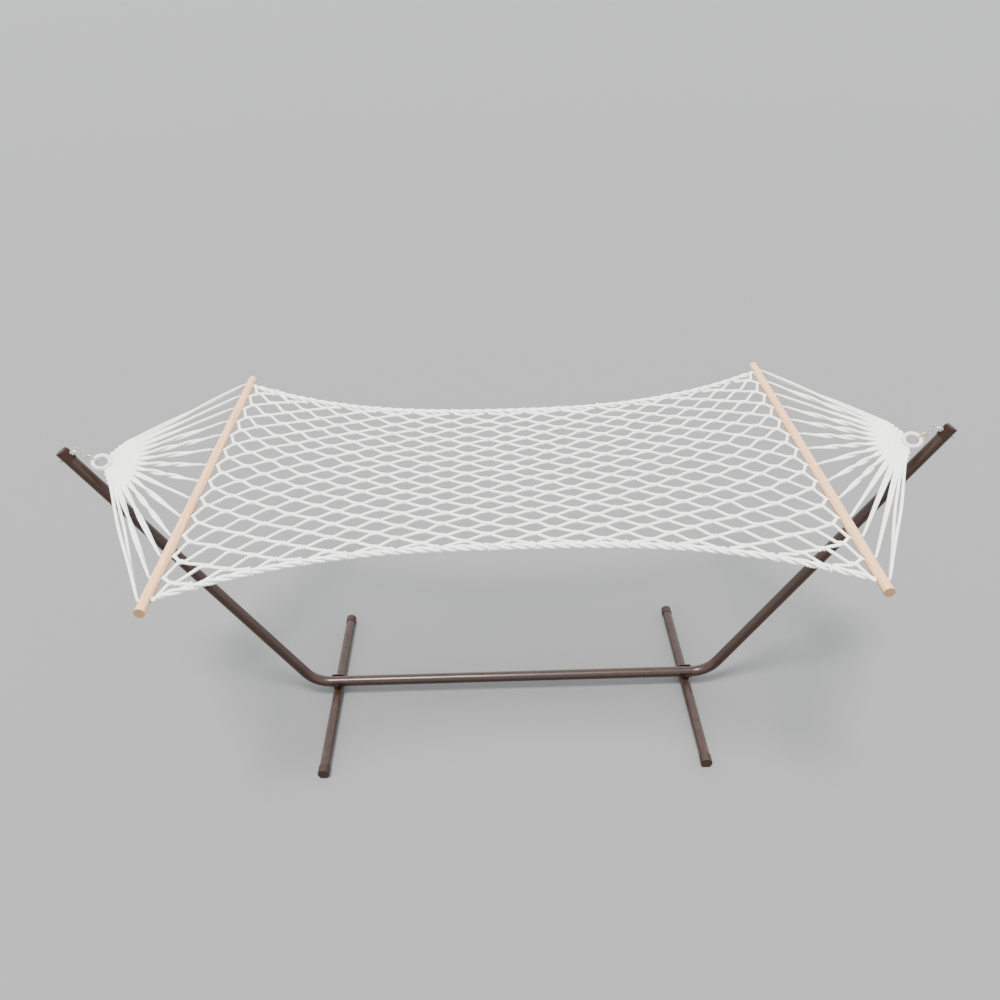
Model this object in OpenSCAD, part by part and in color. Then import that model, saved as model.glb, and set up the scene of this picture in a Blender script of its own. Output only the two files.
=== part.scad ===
// Rope hammock with spreader bars on a steel tube stand, in millimetres.
// The stand's middle is at X = 0, Y = 0 and the ground is at Z = 0. X runs along the hammock.

/* [Stand] */
// Outside diameter of the base beam, elbows and arms
tube_d = 42; // [38:1:45]
// Outside diameter of the two foot tubes
foot_d = 38; // [34:1:40]
// Wall thickness of every steel tube
tube_wall = 1.5; // [1.2:0.1:2]
// Distance from the middle of the stand to each foot tube
foot_x = 720; // [690:1:720]
// Half the length of a foot, end caps included
foot_reach = 430; // [380:5:520]
// Angle of the arms above the ground
arm_angle = 58.5; // [57.5:0.1:59.5]
// Bend radius of the elbows, measured to the tube's axis
elbow_r = 115; // [100:1:130]
// Distance from the middle of the stand to the end of each arm
tip_x = 1505; // [1495:1:1515]

/* [Hanging hardware] */
// Wire diameter of the eye bolt's eye
eye_wire = 5; // [4:0.5:5.5]
// Wire diameter of the chain links
link_wire = 3; // [2.5:0.5:3.5]
// Links in each chain, always an even number
link_count = 4; // [4:2:4]
// Wire diameter of the quick link
quick_wire = 5; // [4:0.5:5]
// Radius of the steel ring inside its rope wrapping
ring_r = 28; // [26:1:29]

/* [Hammock] */
// How far the front of each clew hangs below its back, as an angle about the hammock's length
ring_tilt = 22; // [0:1:24]
// Distance from the middle to each spreader bar
bar_x = 1035; // [1020:1:1050]
// Height of the spreader bars' axes
bar_z = 1100; // [1090:1:1110]
// Length of a spreader bar
bar_len = 1430; // [1390:5:1460]
// Diameter of a spreader bar
bar_d = 32; // [28:1:36]
// Rope holes in each spreader bar
hole_count = 14; // [10:1:14]
// Rope diameter
rope_d = 9; // [7:0.5:9.5]
// Half the bed's width at its waist
waist = 427; // [380:1:480]
// How far the bed sags below the spreader bars
sag = 25; // [5:1:60]

/* [Hidden] */
$fn = 48;
tiny = 0.05;
gap = 0.3;

// Tubes
tube_r = tube_d / 2;
foot_r = foot_d / 2;
bore_r = tube_r - tube_wall;
spigot_r = bore_r - 0.2;
spigot_len = 70;
swage_len = 3;
swage_lap = 1;

// Feet: a cap's flat pad is on the ground, and the cap's sleeve is round the tube
cap_wall = 2.2;
cap_len = 34;
cap_end = 4;
pad_w = 26;
pad_h = 6;
foot_z = foot_r + cap_wall + 0.8;

// Saddle brackets carry the beam on the feet
saddle_wall = 3;
saddle_half = 24;
saddle_ear = 16;
saddle_web = [30, 28, 16];
web_lift = 8;
beam_z = foot_z + foot_r + saddle_wall + tube_r;
beam_half = 600;
bend_x = foot_x + saddle_half + 1;

// Arms: distances are measured along the arm from the end of its elbow's bend
arm_x = bend_x + elbow_r * sin(arm_angle);
arm_z = beam_z + elbow_r * (1 - cos(arm_angle));
arm_end = (tip_x - arm_x) / cos(arm_angle);
arm_cap_h = 4;
arm_cap_plug = 18;
arm_cap_bevel = 1.5;

// Bolts: [shank radius, head or nut across flats, head height]
M6 = [3, 10, 4];
M8 = [4, 13, 6.5];
bolt_play = 0.2;
bolt_tail = 3;
head_share = 0.75;
washer_h = 1.6;
washer_r = 9;
saddle_stack = tube_r + saddle_wall + washer_h;

// Eye bolt near the end of each arm, square to it
eye_s = arm_end - 22;
eye_r = 12.5;
plate_h = 2;
plate_half = 20;
collar_h = 3;
collar_r = 8;
eye_lift = tube_r + plate_h + eye_wire / 2 + eye_r + gap;
eye_washer_h = 3;
eye_tail = 4;

// Chain and quick link run from the eye's far side to the outer side of the ring
wrap_r = 7.5;
ring_core = 3.5;
eye_x = arm_x + eye_s * cos(arm_angle) - (eye_lift + eye_r) * sin(arm_angle);
eye_z = arm_z + eye_s * sin(arm_angle) + (eye_lift + eye_r) * cos(arm_angle);
ring_x = 1383;
ring_z = 1155;
fan_slope = atan((ring_z - bar_z) / (ring_x - bar_x));
ring_out_x = ring_x + ring_r * cos(fan_slope);
ring_out_z = ring_z + ring_r * sin(fan_slope);
chain_len = norm([eye_x - ring_out_x, eye_z - ring_out_z]);
chain_slope = atan2(eye_z - ring_out_z, eye_x - ring_out_x);
eye_play = 1.5;
link_long = 14;
link_wide = 12;
link_step = link_long - link_wire - gap;
link_0 = -(eye_wire + link_wire) / 2 - eye_play;
quick_0 = link_0 + link_count * link_step - (quick_wire - link_wire) / 2;
quick_long = chain_len + wrap_r + quick_wire / 2 + 0.5 - quick_0;
quick_wide = 22;
sleeve_flats = 8.5;
sleeve_0 = quick_0 + quick_wide / 2 + tiny;
sleeve_len = chain_len - wrap_r - 2 * gap - sleeve_0;

// Clew: cords fan out from a woven wedge at the ring to the holes in the bar
rope_r = rope_d / 2;
pair_r = rope_r + 1.5;
knot_r = pair_r + 0.5;
hole_r = pair_r + 1.2;
hole_pitch = 102;
hole_half = hole_pitch * (hole_count - 1) / 2;
wedge_r = 96;
wedge_h = 10;
fan_half = 56;
fan_margin = 2;
fan_reach = wedge_r + 10;
kink_x = bar_d / 2 + 8;
bend_in = 0.12;

// Bed: half width and height follow the distance from the middle
head_x = 975;
edge_r = 6;
net_h = 6;
net_steps = 36;
edge_steps = 44;
edge_sides = 8;
waist_power = 2.7;

function hole_y(i) = -hole_half + hole_pitch * i;
function bed_half(x) = waist + (hole_half - waist) * pow(abs(x) / bar_x, waist_power);
function bed_z(x) = bar_z - sag * (1 - pow(x / bar_x, 2));

SIDES = ["left", "right"];
STAND = ["base_beam", "left_elbow", "right_elbow", "left_arm", "right_arm", "left_foot", "right_foot",
         "left_saddle_bracket", "right_saddle_bracket", "left_front_foot_cap", "left_back_foot_cap",
         "right_front_foot_cap", "right_back_foot_cap", "left_arm_cap", "right_arm_cap",
         "saddle_bolts", "saddle_washers", "saddle_nuts", "joint_bolts", "joint_nuts"];
HARDWARE = ["left_eye_bolt", "right_eye_bolt", "left_eye_plate", "right_eye_plate",
            "eye_washers", "eye_nuts", "left_chain", "right_chain", "left_quick_link",
            "right_quick_link", "left_link_sleeve", "right_link_sleeve"];
ROPEWORK = ["left_ring", "right_ring", "left_ring_wrap", "right_ring_wrap", "left_clew_wedge",
            "right_clew_wedge", "left_clew_cords", "right_clew_cords", "left_spreader_bar",
            "right_spreader_bar", "left_head_rope", "right_head_rope", "rope_net",
            "front_edge_rope", "back_edge_rope"];

// ---------- helpers ----------

// Everything is drawn for the right end; the left end is its mirror image.
module on_side(side) {
    mirror([side == "left" ? 1 : 0, 0, 0]) children();
}

module both_ends() {
    for (side = SIDES) on_side(side) children();
}

// Puts +X along the right arm, s along it from the bend, with +Z away from the tube's inner face.
module on_arm(s) {
    translate([arm_x, 0, arm_z]) rotate([0, -arm_angle, 0]) translate([s, 0, 0]) children();
}

module tube_x(x0, x1, r_out, r_in) {
    translate([x0, 0, 0]) rotate([0, 90, 0]) difference() {
        cylinder(h = x1 - x0, r = r_out);
        translate([0, 0, -1]) cylinder(h = x1 - x0 + 2, r = r_in);
    }
}

module rod_x(x0, x1, r) {
    translate([x0, 0, 0]) rotate([0, 90, 0]) cylinder(h = x1 - x0, r = r);
}

module rod_y(y0, y1, r) {
    translate([0, y1, 0]) rotate([90, 0, 0]) cylinder(h = y1 - y0, r = r);
}

// A round rod between two points.
module rod(p, q, r) {
    d = q - p;
    translate(p) rotate([0, acos(d[2] / norm(d)), atan2(d[1], d[0])]) cylinder(h = norm(d), r = r);
}

module hexagon(flats, h) {
    cylinder(h = h, d = flats / cos(30), $fn = 6);
}

// An oval wire link in the XY plane, from x = 0 to x = long between the centres of its crowns.
module oval_link(long, wide, wire) {
    bend = wide / 2;
    for (end = [0, 1])
        translate([end ? long - bend : bend, 0, 0]) rotate([0, 0, end ? -90 : 90])
            rotate_extrude(angle = 180) translate([bend, 0]) circle(d = wire);
    for (side = [-1, 1]) translate([0, side * bend, 0]) rod_x(bend, long - bend, wire / 2);
}

// A closed skin over rings of points, each ring with the same number of points.
module skin(rings) {
    count = len(rings);
    sides = len(rings[0]);
    points = [for (ring = rings) each ring];
    walls = [for (i = [0 : count - 2], j = [0 : sides - 1])
             let (a = i * sides + j, b = i * sides + (j + 1) % sides)
             each [[a, b, b + sides], [a, b + sides, a + sides]]];
    first = [for (j = [sides - 1 : -1 : 0]) j];
    last = [for (j = [0 : sides - 1]) (count - 1) * sides + j];
    polyhedron(points, concat([first], walls, [last]));
}

// ---------- stand ----------

module beam_bolt_holes(x) {
    translate([x, 0, 0]) rod_y(-tube_r - 1, tube_r + 1, M6[0] + bolt_play);
}

module base_beam() color("#4a3029") translate([0, 0, beam_z]) difference() {
    tube_x(-beam_half, beam_half, tube_r, bore_r);
    for (side = [-1, 1]) beam_bolt_holes(side * (beam_half - spigot_len / 2));
}

// Each end of an elbow has a thinner spigot that slides into the next tube.
module elbow() color("#4a3029") difference() {
    union() {
        translate([0, 0, beam_z]) {
            tube_x(beam_half + swage_len, bend_x, tube_r, bore_r);
            tube_x(beam_half, beam_half + swage_len, tube_r, spigot_r - tube_wall);
            tube_x(beam_half - spigot_len, beam_half, spigot_r, spigot_r - tube_wall);
        }
        translate([bend_x, 0, beam_z + elbow_r]) rotate([90, 0, 0]) rotate([0, 0, -90])
            rotate_extrude(angle = arm_angle) translate([elbow_r, 0]) difference() {
                circle(r = tube_r);
                circle(r = bore_r);
            }
        on_arm(0) {
            tube_x(-swage_len - swage_lap, -swage_lap, spigot_r + swage_lap, spigot_r - tube_wall);
            tube_x(-swage_len - swage_lap, spigot_len, spigot_r, spigot_r - tube_wall);
        }
    }
    translate([0, 0, beam_z]) {
        beam_bolt_holes(beam_half - spigot_len / 2);
        translate([foot_x, 0, 0]) rod_y(-tube_r - 1, tube_r + 1, M8[0] + bolt_play);
    }
    on_arm(0) beam_bolt_holes(spigot_len / 2);
}

module arm() color("#4a3029") on_arm(0) difference() {
    tube_x(tiny, arm_end, tube_r, bore_r);
    beam_bolt_holes(spigot_len / 2);
    translate([eye_s, 0, -tube_r - 1]) cylinder(h = tube_d + 2, r = M8[0] + bolt_play);
}

module arm_cap() color("#2b2422") on_arm(arm_end) {
    rod_x(-arm_cap_plug, 0, bore_r - bolt_play);
    rod_x(0, arm_cap_h - arm_cap_bevel, tube_r);
    translate([arm_cap_h - arm_cap_bevel, 0, 0]) rotate([0, 90, 0])
        cylinder(h = arm_cap_bevel, r1 = tube_r, r2 = tube_r - arm_cap_bevel);
}

module foot() color("#4a3029") translate([foot_x, 0, foot_z]) difference() {
    rod_y(-foot_reach + cap_end, foot_reach - cap_end, foot_r);
    rod_y(-foot_reach, foot_reach, foot_r - tube_wall);
}

// A cap for the +Y end of a foot: sleeve, end wall and the flat pad that stands on the ground.
module foot_cap_solid() color("#2b2422") difference() {
    union() {
        translate([0, 0, foot_z]) rod_y(foot_reach - cap_len, foot_reach, foot_r + cap_wall);
        translate([-pad_w / 2, foot_reach - cap_len, 0]) cube([pad_w, cap_len, pad_h]);
    }
    translate([0, 0, foot_z]) rod_y(foot_reach - cap_len - 1, foot_reach - cap_end, foot_r + tiny);
}

module foot_cap(back) {
    translate([foot_x, 0, 0]) mirror([0, back ? 0 : 1, 0]) foot_cap_solid();
}

// A U-shaped bracket welded to the foot: it cradles the beam and takes a cross bolt.
module saddle_bracket() color("#4a3029") translate([foot_x, 0, beam_z]) difference() {
    union() {
        intersection() {
            rod_x(-saddle_half, saddle_half, tube_r + saddle_wall);
            translate([-saddle_half, -tube_d, -tube_d]) cube([2 * saddle_half, 2 * tube_d, tube_d]);
        }
        for (side = [-1, 1])
            translate([-saddle_half, side * (tube_r + saddle_wall / 2) - saddle_wall / 2, -tiny])
                cube([2 * saddle_half, saddle_wall, saddle_ear]);
        translate([-saddle_web[0] / 2, -saddle_web[1] / 2, foot_z - beam_z + web_lift]) cube(saddle_web);
    }
    rod_x(-saddle_half - 1, saddle_half + 1, tube_r + tiny);
    translate([0, 0, foot_z - beam_z]) rod_y(-tube_d, tube_d, foot_r + tiny);
    rod_y(-tube_d, tube_d, M8[0] + bolt_play);
}

// A hex bolt along +Y, its head's inner face at y = -half and its end past the nut at y = half.
module cross_bolt(size, half) {
    rod_y(-half - tiny, half + size[2] + bolt_tail, size[0]);
    translate([0, -half, 0]) rotate([90, 0, 0]) hexagon(size[1], size[2] * head_share);
}

module cross_nut(size, half) {
    translate([0, half, 0]) rotate([-90, 0, 0]) difference() {
        hexagon(size[1], size[2]);
        translate([0, 0, -1]) cylinder(h = size[2] + 2, r = size[0] + tiny);
    }
}

module saddle_bolts() color("silver") both_ends()
    translate([foot_x, 0, beam_z]) cross_bolt(M8, saddle_stack + gap);

module saddle_washers() color("silver") both_ends()
    for (side = [-1, 1]) translate([foot_x, 0, beam_z]) mirror([0, side < 0 ? 1 : 0, 0]) difference() {
        rod_y(tube_r + saddle_wall + gap / 2, saddle_stack + gap / 2, washer_r);
        rod_y(0, tube_d, M8[0] + bolt_play);
    }

module saddle_nuts() color("silver") both_ends()
    translate([foot_x, 0, beam_z]) cross_nut(M8, saddle_stack + gap);

module at_joints() both_ends() {
    translate([beam_half - spigot_len / 2, 0, beam_z]) children();
    on_arm(spigot_len / 2) children();
}

module joint_bolts() color("silver") at_joints() cross_bolt(M6, tube_r + tiny);

module joint_nuts() color("silver") at_joints() cross_nut(M6, tube_r + tiny);

// ---------- hanging hardware ----------

module eye_bolt() color("silver") on_arm(eye_s) {
    translate([0, 0, -tube_r - eye_washer_h - M8[2] - eye_tail])
        cylinder(h = 2 * tube_r + eye_washer_h + M8[2] + eye_tail + plate_h + collar_h / 2, r = M8[0]);
    translate([0, 0, tube_r + plate_h + tiny]) cylinder(h = collar_h, r = collar_r);
    translate([0, 0, eye_lift]) rotate([0, 90, 0])
        rotate_extrude() translate([eye_r, 0]) circle(d = eye_wire);
}

// A curved plate under the eye bolt's collar, lying along the arm's inner face.
module eye_plate() color("#d8d0c4") on_arm(eye_s) difference() {
    intersection() {
        rod_x(-plate_half, plate_half, tube_r + plate_h);
        translate([-plate_half, -tube_r, tube_r / 2]) cube([2 * plate_half, tube_d, tube_d]);
    }
    rod_x(-tube_d, tube_d, tube_r + tiny);
    cylinder(h = tube_d, r = M8[0] + bolt_play);
}

module eye_washers() color("silver") both_ends() on_arm(eye_s) difference() {
    translate([0, 0, -tube_r - eye_washer_h]) cylinder(h = 2 * eye_washer_h, r = washer_r);
    rod_x(-tube_d, tube_d, tube_r + tiny);
    translate([0, 0, -tube_d]) cylinder(h = tube_d, r = M8[0] + bolt_play);
}

module eye_nuts() color("silver") both_ends() on_arm(eye_s)
    translate([0, 0, -tube_r - eye_washer_h - tiny - M8[2]]) difference() {
        hexagon(M8[1], M8[2]);
        translate([0, 0, -1]) cylinder(h = M8[2] + 2, r = M8[0] + tiny);
    }

// Puts +X along the chain, from the eye's far side down to the ring, t along it.
module on_chain(t, turn) {
    translate([eye_x, 0, eye_z]) rotate([0, 180 - chain_slope, 0]) translate([t, 0, 0])
        rotate([turn, 0, 0]) children();
}

module chain() color("silver")
    for (i = [0 : link_count - 1])
        on_chain(link_0 + i * link_step, i % 2 ? 0 : 90) oval_link(link_long, link_wide, link_wire);

module quick_link() color("#b9a45c") on_chain(quick_0, 90) oval_link(quick_long, quick_wide, quick_wire);

// The threaded sleeve that closes the quick link, on its lower straight side.
module link_sleeve() color("#b9a45c") on_chain(sleeve_0, 90)
    translate([0, -quick_wide / 2, 0]) rotate([0, 90, 0]) difference() {
        hexagon(sleeve_flats, sleeve_len);
        translate([0, 0, -1]) cylinder(h = sleeve_len + 2, r = quick_wire / 2 + tiny);
    }

// ---------- ropework at the ends ----------

// Puts +X along the clew from the ring's centre towards the spreader bar, with +Y across it.
module on_clew() {
    translate([ring_x, 0, ring_z]) rotate([0, 180 - fan_slope, 0]) rotate([-ring_tilt, 0, 0]) children();
}

module ring() color("silver") on_clew()
    rotate_extrude() translate([ring_r, 0]) circle(r = ring_core);

module ring_wrap() color("white") on_clew()
    rotate_extrude() translate([ring_r, 0]) difference() {
        circle(r = wrap_r);
        circle(r = ring_core + tiny);
    }

module clew_wedge() color("white") on_clew()
    translate([0, 0, -wedge_h / 2]) linear_extrude(wedge_h) difference() {
        intersection() {
            circle(r = wedge_r);
            polygon([[0, 0], [fan_reach, -fan_reach * tan(fan_half + fan_margin)],
                     [fan_reach, fan_reach * tan(fan_half + fan_margin)]]);
        }
        circle(r = ring_r + wrap_r + tiny);
    }

// Where cord i leaves the wedge: out along the clew, across it, and up with the clew's tilt.
function clew_start(i) =
    let (turn = fan_half * (2 * i / (hole_count - 1) - 1), r = wedge_r + rope_r,
         out = r * cos(turn), across = r * sin(turn) * cos(ring_tilt), up = r * sin(turn) * sin(ring_tilt))
    [ring_x - out * cos(fan_slope) - up * sin(fan_slope), across,
     ring_z - out * sin(fan_slope) + up * cos(fan_slope)];

module clew_cords() color("white")
    for (i = [0 : hole_count - 1]) {
        kink = [bar_x + kink_x, hole_y(i), bar_z];
        rod(clew_start(i), kink, pair_r);
        translate(kink) sphere(r = knot_r);
        translate([0, hole_y(i), bar_z]) rod_x(bar_x - bar_d / 2, bar_x + kink_x, pair_r - tiny);
    }

module spreader_bar() color("#d9b48c") difference() {
    translate([bar_x, 0, bar_z]) rod_y(-bar_len / 2, bar_len / 2, bar_d / 2);
    for (i = [0 : hole_count - 1])
        translate([0, hole_y(i), bar_z]) rod_x(bar_x - bar_d, bar_x + bar_d, hole_r);
}

// Where a leg of the zigzag from hole i reaches the bed, on one side of the hole: at the mesh
// between two holes, where it lies beside its neighbour's leg, or at the bed's corner.
function leg_end(i, side) =
    let (at_corner = i + side < 0 || i + side >= hole_count,
         y = at_corner ? side * bed_half(head_x)
                       : (hole_y(i) + side * hole_pitch / 2) * bed_half(head_x) / hole_half
                         - side * (rope_r + 1))
    [head_x + rope_r + 1, y, bed_z(head_x)];

// The rope's round section at p, square to a heading in the XY plane.
function rope_ring(p, heading) =
    [for (k = [0 : edge_sides - 1])
     let (turn = 360 * k / edge_sides)
     p + rope_r * [-sin(heading) * cos(turn), cos(heading) * cos(turn), sin(turn)]];
function heading(p, q) = atan2(q[1] - p[1], q[0] - p[0]);

// One V of rope, from the bed to the mouth of hole i and back.
module head_loop(i) {
    kink = [bar_x - kink_x, hole_y(i), bar_z];
    first = leg_end(i, -1);
    last = leg_end(i, 1);
    going = heading(first, kink);
    coming = heading(kink, last);
    skin([rope_ring(first, going), rope_ring(kink + bend_in * (first - kink), going),
          rope_ring(kink, 90), rope_ring(kink + bend_in * (last - kink), coming),
          rope_ring(last, coming)]);
}

// At an end hole the bed's corner rope passes over the last leg of the zigzag.
module head_end(i) {
    for (side = [-1, 1]) {
        over = (i == 0) == (side < 0);
        mouth = [bar_x - kink_x, hole_y(i), bar_z + (over ? 1 : -1) * (rope_r + 1)];
        run = heading(leg_end(i, side), mouth);
        skin([rope_ring(leg_end(i, side), run), rope_ring(mouth, run)]);
    }
}

module head_rope() color("white") {
    for (i = [1 : hole_count - 2]) head_loop(i);
    for (i = [0, hole_count - 1]) head_end(i);
}

// ---------- bed ----------

function net_ring(x) =
    let (half = bed_half(x) - edge_r - gap, z = bed_z(x), h = net_h / 2)
    [[x, -half, z - h], [x, half, z - h], [x, half, z + h], [x, -half, z + h]];

module rope_net() color("white")
    skin([for (i = [0 : net_steps]) net_ring(-head_x + 2 * head_x * i / net_steps)]);

function edge_ring(x, side) =
    [for (k = [0 : edge_sides - 1])
     let (turn = 360 * k / edge_sides)
     [x, side * bed_half(x) + edge_r * cos(turn), bed_z(x) + edge_r * sin(turn)]];

module edge_rope(side) color("white")
    skin([for (i = [0 : edge_steps]) edge_ring(-head_x + 2 * head_x * i / edge_steps, side)]);

// ---------- drawing ----------

base_beam();
on_side("left") elbow();  // left_elbow
on_side("right") elbow();  // right_elbow
on_side("left") arm();  // left_arm
on_side("right") arm();  // right_arm
on_side("left") arm_cap();  // left_arm_cap
on_side("right") arm_cap();  // right_arm_cap
on_side("left") foot();  // left_foot
on_side("right") foot();  // right_foot
on_side("left") foot_cap(false);  // left_front_foot_cap
on_side("left") foot_cap(true);  // left_back_foot_cap
on_side("right") foot_cap(false);  // right_front_foot_cap
on_side("right") foot_cap(true);  // right_back_foot_cap
on_side("left") saddle_bracket();  // left_saddle_bracket
on_side("right") saddle_bracket();  // right_saddle_bracket
saddle_bolts();
saddle_washers();
saddle_nuts();
joint_bolts();
joint_nuts();
on_side("left") eye_bolt();  // left_eye_bolt
on_side("right") eye_bolt();  // right_eye_bolt
on_side("left") eye_plate();  // left_eye_plate
on_side("right") eye_plate();  // right_eye_plate
eye_washers();
eye_nuts();
on_side("left") chain();  // left_chain
on_side("right") chain();  // right_chain
on_side("left") quick_link();  // left_quick_link
on_side("right") quick_link();  // right_quick_link
on_side("left") link_sleeve();  // left_link_sleeve
on_side("right") link_sleeve();  // right_link_sleeve
on_side("left") ring();  // left_ring
on_side("right") ring();  // right_ring
on_side("left") ring_wrap();  // left_ring_wrap
on_side("right") ring_wrap();  // right_ring_wrap
on_side("left") clew_wedge();  // left_clew_wedge
on_side("right") clew_wedge();  // right_clew_wedge
on_side("left") clew_cords();  // left_clew_cords
on_side("right") clew_cords();  // right_clew_cords
on_side("left") spreader_bar();  // left_spreader_bar
on_side("right") spreader_bar();  // right_spreader_bar
on_side("left") head_rope();  // left_head_rope
on_side("right") head_rope();  // right_head_rope
rope_net();
edge_rope(-1);  // front_edge_rope
edge_rope(1);  // back_edge_rope
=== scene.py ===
"""A rope hammock with spreader bars on a steel tube stand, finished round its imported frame.

Every size is in metres in the frame's own axes: X along the hammock, Z up, the ground at 0.
"""

import math

import bpy
import numpy as np
from mathutils import Matrix, Vector


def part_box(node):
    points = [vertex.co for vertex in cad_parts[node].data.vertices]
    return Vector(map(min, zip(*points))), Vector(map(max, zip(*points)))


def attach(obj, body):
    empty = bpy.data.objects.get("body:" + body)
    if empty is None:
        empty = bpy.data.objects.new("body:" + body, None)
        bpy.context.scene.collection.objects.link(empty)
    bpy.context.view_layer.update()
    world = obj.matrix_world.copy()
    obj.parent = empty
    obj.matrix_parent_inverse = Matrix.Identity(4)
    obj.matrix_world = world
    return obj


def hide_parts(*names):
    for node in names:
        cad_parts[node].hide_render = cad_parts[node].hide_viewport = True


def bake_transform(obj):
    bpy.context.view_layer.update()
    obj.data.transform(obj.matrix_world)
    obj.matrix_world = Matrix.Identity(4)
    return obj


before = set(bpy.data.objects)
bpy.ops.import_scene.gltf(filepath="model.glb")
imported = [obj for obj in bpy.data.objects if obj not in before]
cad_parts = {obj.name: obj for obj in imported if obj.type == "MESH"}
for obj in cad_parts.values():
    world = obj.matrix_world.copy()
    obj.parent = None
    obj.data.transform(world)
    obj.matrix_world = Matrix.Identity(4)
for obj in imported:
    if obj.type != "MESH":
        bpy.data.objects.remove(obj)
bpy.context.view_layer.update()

bl_info = {
    "name": "Rope hammock on a tube stand",
    "version": (1, 0, 0),
    "blender": (4, 5, 0),
    "location": "View3D > Sidebar > Hammock",
    "description": "Twisted rope net, clews and finishes for a hammock on its stand",
    "category": "Object",
}


# ---------- places taken from the frame ----------


def corners(node):
    """The lowest and highest corner of a node as numpy arrays."""
    low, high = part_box(node)
    return np.array(low), np.array(high)


BAR_LOW, BAR_HIGH = corners("right_spreader_bar")
BAR = (BAR_LOW + BAR_HIGH) / 2
BAR_R = (BAR_HIGH[2] - BAR_LOW[2]) / 2
RING_LOW, RING_HIGH = corners("right_ring")
RING = (RING_LOW + RING_HIGH) / 2

HOLES = 14
HOLE_PITCH = 0.102
HOLE_HALF = HOLE_PITCH * (HOLES - 1) / 2
WAIST = 0.427
WAIST_POWER = 2.7
SAG = 0.025
RING_R = 0.028
RING_CORE = 0.0035
RING_TILT = math.radians(22)
RING_CORD_R = 0.0022
RING_CORD_LAY = 0.014
WEFT_R = 0.0026
WEFT_LAY = 0.018
WEDGE_END = 0.1005
FIRST_ROW = 0.986
FAN_HALF = math.radians(56)
FAN_SLOPE = math.atan2(RING[2] - BAR[2], RING[0] - BAR[0])

TUBES = [
    "base_beam", "left_elbow", "right_elbow", "left_arm", "right_arm", "left_foot", "right_foot",
    "left_saddle_bracket", "right_saddle_bracket",
]
CAPS = [
    "left_front_foot_cap", "left_back_foot_cap", "right_front_foot_cap", "right_back_foot_cap",
    "left_arm_cap", "right_arm_cap",
]
JOINT_FIXINGS = ["saddle_bolts", "saddle_washers", "saddle_nuts", "joint_bolts", "joint_nuts"]
EYES = ["eye_washers", "eye_nuts", "left_eye_bolt", "right_eye_bolt"]
PLATES = ["left_eye_plate", "right_eye_plate"]
CHAINS = ["left_chain", "right_chain", "left_ring", "right_ring"]
QUICK_LINKS = ["left_quick_link", "right_quick_link", "left_link_sleeve", "right_link_sleeve"]
BARS = ["left_spreader_bar", "right_spreader_bar"]
SIDES = {"left": -1.0, "right": 1.0}


def bed_half(x):
    """Half the bed's width: the waist plus the rest times (|x| / bar distance) to a power."""
    return WAIST + (HOLE_HALF - WAIST) * (np.abs(x) / BAR[0]) ** WAIST_POWER


def bed_z(x):
    """The bed's height: a shallow parabola that meets the bars' axes."""
    return BAR[2] - SAG * (1 - (x / BAR[0]) ** 2)


# ---------- sizes and colours a user may change ----------


class HAMMOCK_PG_rope(bpy.types.PropertyGroup):
    """Sizes of the ropework."""

    radius: bpy.props.FloatProperty(
        name="Rope radius", description="Radius of the net's rope", default=0.0058, unit="LENGTH")
    lay: bpy.props.FloatProperty(
        name="Lay", description="Length of one turn of the rope's three strands",
        default=0.030, unit="LENGTH")
    rows: bpy.props.IntProperty(
        name="Half rows", description="Half rows of meshes from bar to bar", default=28)
    uneven: bpy.props.FloatProperty(
        name="Unevenness", description="How far the meshes stray along the bed",
        default=0.0048, unit="LENGTH")
    cross_sag: bpy.props.FloatProperty(
        name="Cross sag", description="How far the bed's middle hangs below its edges",
        default=0.010, unit="LENGTH")
    ring_turns: bpy.props.IntProperty(
        name="Ring turns", description="Turns of cord round each ring", default=38)
    seed: bpy.props.IntProperty(
        name="Seed", description="Seed of the ropework's small irregularities", default=11)


class HAMMOCK_PG_finish(bpy.types.PropertyGroup):
    """Colours of the materials."""

    tube: bpy.props.FloatVectorProperty(
        name="Tubes", description="Bronze powder coat", subtype="COLOR",
        default=(0.027, 0.0107, 0.0060))
    cap: bpy.props.FloatVectorProperty(
        name="End caps", description="Moulded plastic", subtype="COLOR",
        default=(0.019, 0.0082, 0.0052))
    rope: bpy.props.FloatVectorProperty(
        name="Rope", description="Cotton rope", subtype="COLOR", default=(0.97, 0.965, 0.945))
    wood: bpy.props.FloatVectorProperty(
        name="Bars", description="Pale wood", subtype="COLOR", default=(0.78, 0.47, 0.25))


class HAMMOCK_PG_stage(bpy.types.PropertyGroup):
    """Floor, light and lens."""

    floor: bpy.props.FloatVectorProperty(
        name="Floor", description="Colour of the floor", subtype="COLOR",
        default=(0.17, 0.171, 0.168))
    floor_size: bpy.props.FloatProperty(
        name="Floor size", description="Side of the floor", default=160.0, unit="LENGTH")
    lens: bpy.props.FloatProperty(
        name="Lens", description="Focal length on a 36 mm sensor, in millimetres", default=30.6)
    sun: bpy.props.FloatProperty(
        name="Sun", description="Strength of the main light", default=7.2)
    sky: bpy.props.FloatProperty(
        name="Sky", description="Strength of the light from all round", default=2.1)


# ---------- meshes ----------


def unit(v):
    """Each row of v divided by its length."""
    return v / np.linalg.norm(v, axis=-1, keepdims=True)


def ease(t):
    """Smooth step from 0 to 1: 3 t^2 - 2 t^3."""
    t = np.clip(t, 0, 1)
    return t * t * (3 - 2 * t)


def softened(path, times=2):
    """The path after averaging each inner point with its neighbours, weights 1 2 1."""
    path = path.copy()
    for _ in range(times):
        path[1:-1] = (path[:-2] + 2 * path[1:-1] + path[2:]) / 4
    return path


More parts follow.
